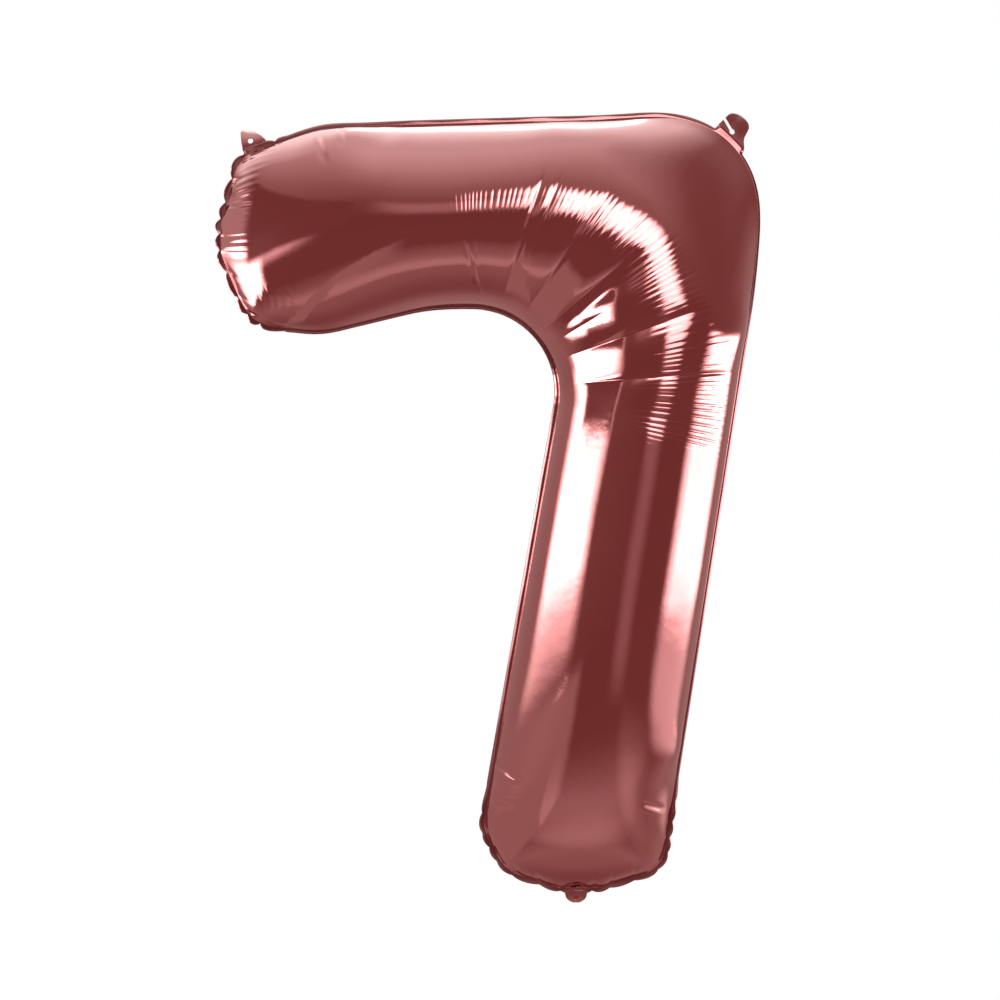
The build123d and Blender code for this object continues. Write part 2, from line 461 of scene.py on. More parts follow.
def make_object(name, points, faces, smooth=True):
    mesh = bpy.data.meshes.new(name)
    mesh.from_pydata([tuple(p) for p in points], [], [tuple(f) for f in faces])
    mesh.update()
    if smooth:
        mesh.polygons.foreach_set("use_smooth", [True] * len(mesh.polygons))
    return linked(name, mesh)


def rectangle(name, size, level=0.0):
    sides = ((-0.5, -0.5), (0.5, -0.5), (0.5, 0.5), (-0.5, 0.5))
    corners = [(size[0] * x, size[1] * y, level) for x, y in sides]
    return make_object(name, corners, [(0, 1, 2, 3)], smooth=False)


def grid_faces(rows, columns, flipped=False):
    index = np.arange(rows * columns).reshape(rows, columns)
    corners = [index[:-1, :-1], index[:-1, 1:], index[1:, 1:], index[1:, :-1]]
    if flipped:
        corners.reverse()
    return np.stack(corners, -1).reshape(-1, 4)


def grid_normals(points):
    normals = np.cross(np.gradient(points, axis=0), np.gradient(points, axis=1))
    normals /= np.linalg.norm(normals, axis=-1, keepdims=True) + 1e-12
    return normals * np.where(normals[..., 1:2] > 0, -1, 1)


def film_piece(name, points, side):
    """One inflated film as a grid; side is 1 for the front and -1 for the back."""
    turned = points * np.array((1, side, 1))
    rows, columns = points.shape[:2]
    return make_object(name, turned.reshape(-1, 3), grid_faces(rows, columns, side > 0))


def edge_loop(points):
    """The grid's edge points in order, clockwise from the arm's inner corner."""
    return np.vstack([points[0, :-1], points[:-1, -1], points[-1, :0:-1], points[:0:-1, 0]])


ARM_END = -0.315  # x where the arm's scalloped end starts
FOOT_END = 0.13  # z where the foot's starts


def end_weight(x, z):
    """1 at the arm's free end and at the foot, 0 along the straight sides."""
    return np.maximum(rise(-x, -ARM_END, 0.03), rise(-z, -FOOT_END, 0.04))


ROOT = 0.003  # a tab's film goes on this far inside its fold


class Fold:
    """A fold line: a point on it, its direction, the direction that leads off the balloon, and
    how far the tab's root goes along it, from low to high."""

    def __init__(self, origin, along, low, high):
        self.low, self.high = low, high
        self.origin = np.array(origin)
        self.along = np.array(along) / np.linalg.norm(along)
        self.away = np.array((-self.along[1], self.along[0]))

    def local(self, flat):
        return (flat - self.origin) @ self.along, (flat - self.origin) @ self.away

    def place(self, sideways, reach):
        return self.origin + sideways[:, None] * self.along + reach[:, None] * self.away

    def lengthened(self, loop):
        """The outline with its straight root moved inward."""
        sideways, reach = self.local(loop)
        return self.place(sideways, np.where(reach < 0.0004, reach - ROOT, reach))

    def point(self, reach):
        x, z = self.origin + reach * self.away
        return (x, 0, z)

    def gap(self, loop, normals):
        """How far straight outward the fold line is from an edge's places, and 1 where that
        way leads to the tab's root."""
        sideways, reach = self.local(loop)
        straight = normals @ self.away
        away = -reach / np.where(straight > 0.3, straight, 1)
        meets = sideways + away * (normals @ self.along)
        near = (straight > 0.3) & (away > 0) & (away < 0.02)
        return away, near * bump_window(meets, self.low, self.high, 0.004)


LEFT_FOLD = Fold((-0.3568, 0.8295), (0.937, 0.350), -0.0145, 0.0145)
RIGHT_FOLD = Fold((0.1736, 0.8376), (1, -1), -0.022, 0.019)
NECK_FOLD = Fold((0, 0), (-1, 0), -0.011, 0.011)


SCALLOP = 0.022  # from one pinch of the seam to the next
DRIFT = 0.9  # the beads between the pinches differ in length by this, in radians
DRIFT_RATE = 0.37
FOOT_BEADS = 0.45  # how far the foot's beads stand out, against the arm's
FOOT_TOP = 0.3  # every bead below this z is the foot's
NECK_FLANGE = 0.0066  # the flange is wider where the neck leaves it
NECK_LIFT = 0.0010  # the films stand this far off the seam's plane round the valve's inlet
NECK_HALF = 0.0125
FOLD_OVERLAP = 0.001  # how far the flange goes on past a tab's fold
BEAD_LIFT = 0.0006  # the beads turn forward and backward by turns
SIDE_LIFT = 0.00025  # and the straight seam waves a little
SIDE_WAVE = 0.011
STRIP = (-0.04, 0.0, 0.3, 0.65, 1.0)  # lines along the flange, as shares of its width
FACING = 0.6  # how squarely the edge faces right or up where it has all of that side's curl
CURL_SIDE = radians(38)
CURL_RIGHT = radians(72)
CURL_TOP = radians(12)
CURL_ENDS = radians(6)
CURL_SHARE = 0.8  # a place on the flange leans by this share of the curl it has reached


def curl_back(loop, normals):
    """How far each place of the flange is curled backward."""
    x, z = loop.T
    right = np.clip(normals[:, 0] / FACING, 0, 1) * rise(z, 0.05, 0.05)
    top = np.clip(normals[:, 1] / FACING, 0, 1) * rise(x, -0.24, 0.06)
    curl = CURL_SIDE + (CURL_RIGHT - CURL_SIDE) * right
    curl = curl + (CURL_TOP - curl) * top * (1 - right)
    return curl + (CURL_ENDS - curl) * end_weight(x, z)


def neck_window(x, z):
    """1 where the neck leaves the foot."""
    return bump_window(x, -NECK_HALF, NECK_HALF, 0.010) * np.clip(1 - z / 0.05, 0, 1)


def strip_rings(loop, normals, width, curl, lift, half):
    """The lines along the flange, first those of its front and then those of its back."""
    rows = []
    for share in STRIP:
        beyond = max(share, 0)
        lean = curl * beyond * CURL_SHARE
        place = loop + normals * (width * (share * np.cos(lean)))[:, None]
        rows.append((place, width * share * np.sin(lean) + lift * beyond**2))
    front = [np.stack([place[:, 0], y - half, place[:, 1]], -1) for place, y in rows]
    back = [np.stack([place[:, 0], y + half, place[:, 1]], -1) for place, y in rows[::-1]]
    return np.array(front + back)


def ring_faces(rings, count):
    """Faces from each closed line to the next, and from the last to the first."""
    here = np.arange(count)
    after = np.roll(here, -1)
    faces = []
    for ring in range(rings):
        low, high = ring * count, (ring + 1) % rings * count
        faces += np.stack([low + here, low + after, high + after, high + here], -1).tolist()
    return faces


def seam_piece(name, edge):
    """The welded flange: a thin strip outside the films' common edge, scalloped at the ends."""
    loop = edge[:, [0, 2]]
    x, z = loop.T
    lengths = np.linalg.norm(np.diff(np.vstack([loop, loop[:1]]), axis=0), axis=1)
    along = np.r_[0, np.cumsum(lengths)[:-1]]
    waves = np.round(lengths.sum() / SCALLOP)
    phase = pi * waves * along / lengths.sum()
    phase = phase + DRIFT * np.sin(phase * DRIFT_RATE)
    normals = smoothed_loop(outward(loop, 3), 12)
    normals /= np.linalg.norm(normals, axis=1, keepdims=True)
    ends, neck = end_weight(x, z), neck_window(x, z)
    beads = np.where(z > FOOT_TOP, 1.0, FOOT_BEADS)
    width = SEAM_WIDTH * (1 - ends * beads * (0.75 - 1.1 * np.abs(np.sin(phase)) ** 0.7))
    width = width + (NECK_FLANGE - width) * neck
    curl = curl_back(loop, normals)
    for fold in (LEFT_FOLD, RIGHT_FOLD):
        away, share = fold.gap(loop, normals)
        width = width + (away + FOLD_OVERLAP - width) * share
        curl = curl * (1 - share)
    lift = BEAD_LIFT * ends * np.cos(phase) + SIDE_LIFT * np.sin(along / SIDE_WAVE)
    rings = strip_rings(loop, normals, width, curl, lift, FILM / 2 + NECK_LIFT * neck)
    return make_object(name, rings.reshape(-1, 3), ring_faces(len(rings), len(loop)))


# ---- thin plates


ROW_GAP = 0.87  # of the spacing, between a mesh's rows
RIM_CLEAR = 0.6  # of the spacing, kept free inside an outline


def inside_loops(loops, points):
    """Which points lie inside the outlines, with inner outlines as holes."""
    crossed = np.zeros(len(points), int)
    for loop in loops:
        ends = np.roll(loop, -1, axis=0)
        for (x0, z0), (x1, z1) in zip(loop, ends):
            spans = (z0 > points[:, 1]) != (z1 > points[:, 1])
            part = (points[:, 1] - z0) / (z1 - z0 + 1e-15)
            crossed += spans & (points[:, 0] < x0 + part * (x1 - x0))
    return crossed % 2 == 1


def filled(loops, spacing):
    """Points and triangles that fill flat outlines, with inner outlines as holes."""
    rim = np.vstack(loops)
    low, high = rim.min(0), rim.max(0)
    columns = np.arange(low[0], high[0], spacing)
    rows = np.arange(low[1], high[1], spacing * ROW_GAP)
    lattice = np.array(
        [(x + spacing / 2 * (k % 2), z) for k, z in enumerate(rows) for x in columns]
    )
    lattice = lattice[inside_loops(loops, lattice)]
    gaps = np.linalg.norm(lattice[:, None] - rim[None], axis=-1).min(1)
    flat = np.vstack([rim, lattice[gaps > RIM_CLEAR * spacing]])
    edges, first = [], 0
    for loop in loops:
        count = len(loop)
        edges += [(first + k, first + (k + 1) % count) for k in range(count)]
        first += count
    spots, _, triangles, *_ = delaunay_2d_cdt([Vector(p) for p in flat], edges, [], 0, 1e-7)
    spots, triangles = np.array(spots), np.array(triangles)
    return spots, triangles[inside_loops(loops, spots[triangles].mean(1))]


def plate_piece(name, node, spacing, shape, thickness, fold):
    """A thin film cut to a CAD node's outline, and a little longer past its fold; shape bends
    its middle surface."""
    loops = []
    for loop in flat_loops(node):
        loop = fold.lengthened(loop)
        around = np.linalg.norm(np.roll(loop, -1, axis=0) - loop, axis=1).sum()
        loops.append(even_loop(loop, max(12, int(around / spacing))))
    spots, triangles = filled(loops, spacing)
    middle = shape(np.stack([spots[:, 0], np.zeros(len(spots)), spots[:, 1]], -1))
    piece = make_object(name, middle, triangles.tolist())
    thick = piece.modifiers.new("thickness", "SOLIDIFY")
    thick.thickness = thickness
    thick.offset = 0
    return piece


# ---- creases and puckers


LONG_FOLDS = (  # angle in degrees, inner radius, outer radius, depth, width above, width below
    (88.0, 0.125, 0.175, 0.0006, 0.003, 0.004),
    (71.0, 0.125, 0.245, 0.0016, 0.004, 0.006),
    (67.0, 0.170, 0.245, 0.0010, 0.003, 0.005),
    (55.0, 0.122, 0.250, 0.0017, 0.004, 0.009),
    (39.7, 0.118, 0.226, 0.0030, 0.006, 0.008),
    (30.2, 0.122, 0.160, 0.0009, 0.004, 0.005),
    (19.4, 0.122, 0.262, 0.0034, 0.007, 0.024),
    (3.9, 0.126, 0.290, 0.0010, 0.004, 0.005),
)
FOLD_SOFT = 0.045
PUCKER_ANGLE = radians(1.5)
PUCKER_DEPTH = 0.0006
PUCKER_FAN = (-14, 94, 7)  # from and to this angle, and how softly, in degrees
PUCKER_BAND = (  # angle in degrees, middle radius, half width, strength
    (-13, 0.243, 0.042, 1.0),
    (0, 0.243, 0.042, 1.0),
    (15, 0.248, 0.036, 0.9),
    (35, 0.243, 0.032, 1.1),
    (60, 0.234, 0.028, 0.7),
    (72, 0.225, 0.022, 0.7),
    (92, 0.203, 0.016, 0.8),
)


def fold_relief(angle, radius):
    """The long creases from the bend's inner edge outward."""
    relief = np.zeros(angle.shape)
    for place, inner, outer, depth, above, below in LONG_FOLDS:
        away = radius * (angle - radians(place))
        width = np.where(away > 0, above, below)
        reach = bump_window(radius, inner, outer, FOLD_SOFT)
        relief -= depth * np.exp(-np.abs(away) / width) * reach
    return relief


def pucker_relief(angle, radius):
    """The many fine puckers that fan out round the bend, uneven in depth and length."""
    degrees_round = np.degrees(angle)
    stops = np.array(PUCKER_BAND).T
    middle, half, strong = [np.interp(degrees_round, stops[0], row) for row in stops[1:]]
    fan = bump_window(degrees_round, *PUCKER_FAN)
    phase = angle / PUCKER_ANGLE
    phase = phase + 0.5 * np.sin(phase * 0.31) + 0.3 * np.sin(phase * 0.83 + 1)
    random = np.random.default_rng(11)
    each = np.interp(phase, np.arange(-100, 100), random.uniform(0.35, 1.0, 200))
    reach = np.interp(phase, np.arange(-100, 100), random.uniform(0.8, 1.25, 200))
    band = np.exp(-(((radius - middle) / half / reach) ** 4))
    valleys = (1 - np.abs(np.sin(pi * phase))) ** 2
    return -PUCKER_DEPTH * valleys * each * strong * band * fan


def bend_relief(points):
    x, z = points[..., 0] - BEND[0], points[..., 2] - BEND[1]
    angle, radius = np.arctan2(z, x), np.hypot(x, z)
    return fold_relief(angle, radius) + pucker_relief(angle, radius)


SHORT_FOLDS = (  # from x, z to x, z, depth, width
    (-0.092, 0.146, -0.060, 0.124, 0.0012, 0.0030),
    (-0.093, 0.108, -0.068, 0.098, 0.0010, 0.0030),
    (0.098, 0.094, 0.072, 0.102, 0.0009, 0.0028),
    (-0.290, 0.846, -0.276, 0.806, 0.0009, 0.0028),
    (-0.262, 0.850, -0.258, 0.824, 0.0009, 0.0030),
    (-0.125, 0.722, -0.106, 0.664, 0.0006, 0.0025),
)
END_FOLDS = tuple(  # the fine level creases in the arm's end
    (-0.394, z, -0.352 - shift, z + 0.001, 0.00035, 0.0011)
    for z, shift in (
        (0.762, 0), (0.7545, 0.004), (0.7475, 0), (0.7405, 0.006),
        (0.7340, 0.001), (0.7275, 0.005), (0.7210, 0.002), (0.7130, 0.006),
    )
)
UNDER_FOLDS = tuple(  # the upright ones under it
    (x, 0.675, x + 0.004, 0.640, 0.0005, 0.0015) for x in (-0.352, -0.345, -0.337, -0.328, -0.319)
)
RIDGE = 0.4  # height of the ridge beside a short crease, against the crease's depth


def short_relief(points):
    """The short creases, each with a ridge on one side."""
    x, z = points[..., 0], points[..., 2]
    relief = np.zeros(points.shape[:2])
    for x0, z0, x1, z1, depth, width in SHORT_FOLDS + END_FOLDS + UNDER_FOLDS:
        length = np.hypot(x1 - x0, z1 - z0)
        ux, uz = (x1 - x0) / length, (z1 - z0) / length
        along = (x - x0) * ux + (z - z0) * uz
        away = (z - z0) * ux - (x - x0) * uz
        taper = bump_window(along, 0.1 * length, 0.9 * length, 0.4 * length)
        relief -= depth * np.exp(-((away / width) ** 2)) * taper
        relief += RIDGE * depth * np.exp(-(((away - 2 * width) / width) ** 2)) * taper
    return relief


ENDS = (  # which way its rows go inward, depth of its pinches, height of its ripples
    (1, 0.0022, 0.00022),
    (-1, 0.0016, 0.0001),
)
PINCH_LENGTH = 0.012
PINCH_DRIFT = 0.5
RIPPLE_LENGTH = 0.0075
RIPPLE_BAND = (0.012, 0.045, 0.02)  # from and to this far from the edge, and how softly


def end_relief(points):
    """Pinches that run in from the scalloped seam, and the fine ripples beyond them."""
    relief = np.zeros(points.shape[:2])
    random = np.random.default_rng(5)
    for way, depth, height in ENDS:
        grid = points[::way]
        steps = np.linalg.norm(np.diff(grid, axis=0), axis=-1)
        inward = np.vstack([np.zeros(grid.shape[1]), np.cumsum(steps, axis=0)])
        around = np.r_[0, np.cumsum(np.linalg.norm(np.diff(grid[3], axis=0), axis=-1))][None]
        phase = pi * around / SCALLOP
        pinch = (1 - np.abs(np.sin(phase + PINCH_DRIFT * np.sin(phase * DRIFT_RATE)))) ** 2
        fall = np.exp(-inward / PINCH_LENGTH) * rise(inward, 0, 0.002)
        strength = np.interp(around / PINCH_LENGTH, np.arange(80), random.uniform(0.1, 1, 80))
        ripple = np.cos(2 * pi * (around / RIPPLE_LENGTH + 0.4 * np.sin(around / 0.02)))
        band = bump_window(inward, *RIPPLE_BAND)
        relief[::way] += -depth * pinch * fall * strength + height * ripple * strength**2 * band
    return relief


# ---- materials


def set_values(node, values):
    for socket, value in values.items():
        node.inputs[socket].default_value = value


def principled(name, **values):
    material = bpy.data.materials.new(name)
    material.use_nodes = True
    shader = material.node_tree.nodes["Principled BSDF"]
    set_values(shader, values)
    return material, material.node_tree, shader


def noise(tree, scale, detail=2.0):
    place = tree.nodes.new("ShaderNodeTexCoord")
    texture = tree.nodes.new("ShaderNodeTexNoise")
    set_values(texture, {"Scale": scale, "Detail": detail})
    tree.links.new(place.outputs["Object"], texture.inputs["Vector"])
    return texture.outputs["Fac"]


def ranged(tree, value, low, high, start=0.0, stop=1.0):
    """A value that goes from start to stop, mapped to go from low to high."""
    node = tree.nodes.new("ShaderNodeMapRange")
    set_values(node, {"From Min": start, "From Max": stop, "To Min": low, "To Max": high})
    tree.links.new(value, node.inputs["Value"])
    return node.outputs["Result"]


def colour_mix(tree, share):
    """A node that mixes its colours A and B."""
    node = tree.nodes.new("ShaderNodeMix")
    node.data_type = "RGBA"
    tree.links.new(share, node.inputs["Factor"])
    return node


def bumped(tree, shader, height, distance):
    node = tree.nodes.new("ShaderNodeBump")
    node.inputs["Distance"].default_value = distance
    tree.links.new(height, node.inputs["Height"])
    tree.links.new(node.outputs["Normal"], shader.inputs["Normal"])


def tinted(tree, shader, value, dark, light):
    node = colour_mix(tree, value)
    set_values(node, {"A": (*dark, 1), "B": (*light, 1)})
    tree.links.new(node.outputs["Result"], shader.inputs["Base Color"])


ROSE_DARK = (0.57, 0.222, 0.216)
ROSE_LIGHT = (0.60, 0.240, 0.235)


def film_material(name, rough=0.07, creased=0.00012, share=1.0):
    """Metallised rose film, slightly uneven, under a clear coat; share darkens its colour (on the
    seam's film this darkening is painted shade).
    """
    coat = {"Coat Weight": 0.35, "Coat Roughness": 0.03}
    material, tree, shader = principled(name, Metallic=1.0, **coat)
    dark, light = [[share * part for part in colour] for colour in (ROSE_DARK, ROSE_LIGHT)]
    tinted(tree, shader, noise(tree, 9.0), dark, light)
    roughness = ranged(tree, noise(tree, 30.0), rough * 0.7, rough * 1.3)
    tree.links.new(roughness, shader.inputs["Roughness"])
    bumped(tree, shader, noise(tree, 55.0, 3.0), creased)
    return material


def valve_material(name, colour, rough):
    """Plain plastic film or ink, slightly uneven in tone."""
    material, tree, shader = principled(name, Roughness=rough)
    light = [1.08 * part for part in colour]
    tinted(tree, shader, noise(tree, 120.0), colour, light)
    bumped(tree, shader, noise(tree, 400.0, 4.0), 0.00005)
    return material


def cover(piece, material):
    piece.data.materials.append(material)


# ---- pieces


EDGE_FADE = 0.02  # share of the way across over which the creases fade in from the seam
SHALLOW = 0.35  # a crease leaves at least this share of the film's depth


def creased(points):
    """The film with its creases and puckers pressed in, and lifted over the valve's inlet."""
    relief = bend_relief(points) + short_relief(points) + end_relief(points)
    inside = np.minimum(np.linspace(0, 1, FINE_ACROSS), np.linspace(1, 0, FINE_ACROSS))
    relief *= np.clip(inside / EDGE_FADE, 0, 1)[None]
    shallow = SHALLOW * points[..., 1]
    points = points + grid_normals(points) * relief[..., None]
    points[..., 1] = np.minimum(points[..., 1], shallow)
    lifted = -NECK_LIFT * neck_window(points[..., 0], points[..., 2])
    points[..., 1] = np.minimum(points[..., 1], lifted)
    return points


def film_surface(rim, pattern):
    """The finished front film, as a grid whose edge lies on the rim."""
    points = inflated_front(rim, pattern)
    ribs, across = points.shape[:2]
    home = standing(Weave(rim, np.linspace(0, 1, ribs), across).grid(rim))
    points = calmed(seated(points, home), CALM_TIMES)
    return creased(resampled(points, fine_shares(), FINE_ACROSS))


def make_envelope(film, seam_film):
    rim = rim_outline("front_panel")
    pattern = flat_pattern(rim)
    points = film_surface(rim, pattern)
    front = film_piece("front_film", points, 1)
    back = film_piece("back_film", points, -1)
    for piece, node in ((front, "front_panel"), (back, "back_panel")):
        cover(piece, film)
        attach(piece, "envelope")
        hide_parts(node)
    seam = seam_piece("seam_flange", edge_loop(points))
    # The flange gets the darkened film: painted shade.
    cover(seam, seam_film)
    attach(seam, "envelope")
    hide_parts("perimeter_seam")


LEFT_CURL = (0.15, 1.2, 0.027, 0.9)  # tilt, curl, tip and lean, with angles in radians
RIGHT_CURL = (0.42, 0.35, 0.032, -0.6)
ROOT_STEP = 0.006  # over this length a tab comes forward from behind the flange
CRIMP = 0.0005
CRIMP_WAVE = 0.0032


def curled(fold, tilt, curl, tip, lean):
    """Bends a tab backward: tilt is its angle at the fold, curl what its tip adds, tip its
    length, and lean makes one side bend more than the other."""

    def shape(points):
        sideways, reach = fold.local(points[:, [0, 2]])
        bend = curl * (1 + lean * sideways / tip) * np.clip(reach / tip, 1e-6, 2)
        beyond = np.clip(reach, 0, None)
        ahead, behind = beyond * np.sin(bend) / bend, beyond * (1 - np.cos(bend)) / bend
        out = ahead * cos(tilt) - behind * sin(tilt) + np.clip(reach, None, 0)
        back = ahead * sin(tilt) + behind * cos(tilt)
        back = back + 2 * FILM * np.clip(1 - beyond / ROOT_STEP, 0, 1)
        crimp = CRIMP * np.sin(sideways / CRIMP_WAVE) * np.clip(reach / tip, 0, 1)
        place = fold.place(sideways, out)
        return np.stack([place[:, 0], back + crimp, place[:, 1]], -1)

    return shape


TAB_SPACING = 0.0009  # between a mesh's points
NECK_SPACING = 0.0006


def make_tabs(film):
    for name, node, body, fold, curl in (
        ("left_tab_film", "left_hanging_tab", "left_tab", LEFT_FOLD, LEFT_CURL),
        ("right_tab_film", "right_hanging_tab", "right_tab", RIGHT_FOLD, RIGHT_CURL),
    ):
        piece = plate_piece(name, node, TAB_SPACING, curled(fold, *curl), FILM, fold)
        cover(piece, film)
        fold.point(0)
        fold.point(0.003)
        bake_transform(piece)
        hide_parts(node)


NECK_LENGTH = 0.0105
NECK_BROAD = 1.12  # width at the root, against the CAD's
NECK_TAPER = 0.45  # how much of it is lost towards the tip
NECK_PUFF_HALF = 0.0085  # half the width that is blown out
NECK_GAP = 0.0002  # between a ply and the weld
NECK_PUFF = 0.0012


def puffed(side):
    """Rounds the neck's ply off towards its tip and blows it out to one side."""

    def shape(points):
        x, down = points[:, 0], -points[:, 2] / NECK_LENGTH
        narrow = NECK_BROAD - NECK_TAPER * np.clip(down, 0, 1) ** 3
        swell = np.clip(1 - (x / NECK_PUFF_HALF) ** 2, 0, 1) * np.clip(1.0 - down**3, 0, 1)
        return np.stack([x * narrow, side * (NECK_GAP + NECK_PUFF * swell), points[:, 2]], -1)

    return shape


def make_neck(film, fold):
    for name, node, side in (
        ("neck_front_film", "neck_front_ply", -1),
        ("neck_back_film", "neck_back_ply", 1),
        ("neck_edge", "neck_weld", 0),
    ):
        piece = plate_piece(name, node, NECK_SPACING, puffed(side), 2 * FILM / 3, fold)
        cover(piece, film)
        fold.point(0)
        fold.point(0.002)
        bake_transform(piece)
        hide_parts(node)


def finish_valve():
    milky = valve_material("valve_film", (0.80, 0.82, 0.84), 0.32)
    sealed = valve_material("valve_seal", (0.72, 0.74, 0.76), 0.5)
    ink = valve_material("release_ink", (0.34, 0.16, 0.15), 0.6)
    for node, material in (
        ("valve_rear_film", milky),
        ("valve_front_film", milky),
        ("valve_tack", sealed),
        ("valve_left_strip", sealed),
        ("valve_right_strip", sealed),
        ("valve_release_print", ink),
    ):
        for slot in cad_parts[node].material_slots:
            slot.material = material


# ---- stage

ROOM = 2.0  # strength of the room's light, so that its ramps stay under 1
WARMTH = (0.255, 0.0, -0.008)  # what a tone's red, green and blue are past the tone itself


def linear(value):
    """A picture's value as light."""
    return value / 12.92 if value < 0.04045 else ((value + 0.055) / 1.055) ** 2.4


def seen(tone):
    """The room's colour that shows as a tone in the film; darker parts of it are warmer."""
    shown = [tone + part for part in WARMTH]
    return [linear(v) / tint / ROOM for v, tint in zip(shown, ROSE_LIGHT)] + [1]


CAMERA_AWAY = 8.0
VIEW_WIDTH = 1.11
VIEW_CENTRE = (-0.0844, 0.4362)
FLOOR_DROP = 0.30
FLOOR_SIZE = 4.8


def make_camera():
    camera = bpy.data.cameras.new("camera")
    camera.sensor_width = 36
    camera.lens = camera.sensor_width * CAMERA_AWAY / VIEW_WIDTH
    camera.clip_end = 100
    holder = linked("camera", camera)
    holder.location = (VIEW_CENTRE[0], -CAMERA_AWAY, VIEW_CENTRE[1])
    holder.rotation_euler = (pi / 2, 0, 0)
    bpy.context.scene.camera = holder


def fade_out(tree, distance, reach, fade):
    """1 in the middle, falling to 0 at reach over the length fade."""
    size = tree.nodes.new("ShaderNodeMath")
    size.operation = "ABSOLUTE"
    tree.links.new(distance, size.inputs[0])
    fall = ranged(tree, size.outputs["Value"], 0, 1, reach, reach - fade)
    fall.node.interpolation_type = "SMOOTHSTEP"
    return fall


def card_material(name, size, soft):
    """A see-through material, and how opaque it is: 1 in the middle, 0 at the card's edges."""
    material = bpy.data.materials.new(name)
    material.use_nodes = True
    tree = material.node_tree
    tree.nodes.clear()
    spot = tree.nodes.new("ShaderNodeTexCoord")
    parts = tree.nodes.new("ShaderNodeSeparateXYZ")
    tree.links.new(spot.outputs["Object"], parts.inputs["Vector"])
    product = tree.nodes.new("ShaderNodeMath")
    product.operation = "MULTIPLY"
    for socket, axis, side, fade in zip(product.inputs, "XY", size, soft):
        tree.links.new(fade_out(tree, parts.outputs[axis], side / 2, fade), socket)
    glow = tree.nodes.new("ShaderNodeEmission")
    clear = tree.nodes.new("ShaderNodeBsdfTransparent")
    return material, product.outputs["Value"], glow, clear


def finished(tree, total, glow, clear):
    """Adds or mixes the two surfaces and gives the material the result."""
    tree.links.new(clear.outputs["BSDF"], total.inputs[-2])
    tree.links.new(glow.outputs["Emission"], total.inputs[-1])
    output = tree.nodes.new("ShaderNodeOutputMaterial")
    tree.links.new(total.outputs["Shader"], output.inputs["Surface"])


def standing_card(name, place, aim, size, material):
    """A card that only the film's reflections see."""
    piece = rectangle(name, size)
    piece.location = place
    away = Vector(place) - Vector(aim)
    piece.rotation_euler = away.to_track_quat("Z", "Y").to_euler()
    piece.visible_camera = False
    piece.visible_diffuse = False
    piece.visible_shadow = False
    cover(piece, material)


def card(name, place, aim, size, level, soft):
    """A glowing card; what is behind it shines through."""
    material, strength, glow, clear = card_material(name, size, soft)
    tree = material.node_tree
    tree.links.new(ranged(tree, strength, 0, level), glow.inputs["Strength"])
    finished(tree, tree.nodes.new("ShaderNodeAddShader"), glow, clear)
    standing_card(name, place, aim, size, material)


def shade(name, place, aim, size, tone, soft):
    """A card that hides what is behind it and shows as a tone in the film."""
    material, cover_share, glow, clear = card_material(name, size, soft)
    tree = material.node_tree
    set_values(glow, {"Color": seen(tone), "Strength": ROOM})
    mixed = tree.nodes.new("ShaderNodeMixShader")
    tree.links.new(cover_share, mixed.inputs["Fac"])
    finished(tree, mixed, glow, clear)
    standing_card(name, place, aim, size, material)


LEG_X = 0.04
FRONT_AWAY = 1.6
SIDE_CARDS = (  # name, azimuth in degrees, distance, height, size, level, soft edges
    ("left_card", -74, 1.5, 0.78, (2.2, 0.64), 6.0, (0.60, 0.15)),
    ("left_low_card", -74, 1.5, 0.535, (2.2, 0.63), 1.8, (0.60, 0.30)),
    ("inner_card", -72, 6.0, -0.15, (7.0, 0.70), 6.0, (1.6, 0.12)),
    ("right_card", 96, 1.5, 0.25, (2.2, 0.50), 6.0, (0.60, 0.15)),
    ("right_low_card", 96, 1.5, -0.05, (2.2, 0.70), 0.85, (0.60, 0.35)),
    ("faint_card", 18, 1.5, 0.35, (0.75, 1.0), 0.18, (0.35, 0.3)),
    ("bend_card", 20, 1.5, 0.66, (0.70, 0.42), 3.0, (0.20, 0.12)),
)
FRONT_CARDS = (  # name, x and z of the centre, size, level, soft edges
    ("band_card", (0.30, 1.14), (1.30, 0.80), 4.0, (0.35, 0.18)),
    ("arm_card", (-0.45, 0.95), (1.0, 0.60), 0.25, (0.4, 0.25)),
)
END_CARDS = (  # name, kind, x, y and z of the centre, size, level or tone, soft edges
    ("patch_card", card, -0.62, (-0.07, 0.54), (0.34, 0.24), 5.0, (0.08, 0.06)),
    ("pink_shade", shade, -0.62, (0.03, 0.76), (0.44, 0.17), 0.40, (0.08, 0.03)),
    ("dark_shade", shade, -0.60, (-0.42, 0.78), (0.74, 0.34), 0.18, (0.07, 0.04)),
)


def side_card(name, azimuth, distance, height, size, level, soft):
    """A card upright beside the leg; azimuth 0 is in front and turns to the right, in degrees."""
    a = radians(azimuth)
    place = (LEG_X + distance * sin(a), -distance * cos(a), height)
    card(name, place, (LEG_X, 0, height), size, level, soft)


def front_card(name, centre, size, level, soft):
    """An upright card in front; centre is its x and z."""
    x, z = centre
    card(name, (x, -FRONT_AWAY, z), (x, 0, z), size, level, soft)


def beside_end(name, kind, x, centre, size, level, soft):
    """A card or shade upright to the left of the arm's end; centre is its y and z."""
    y, z = centre
    kind(name, (x, y, z), (x + 0.3, y, z), size, level, soft)


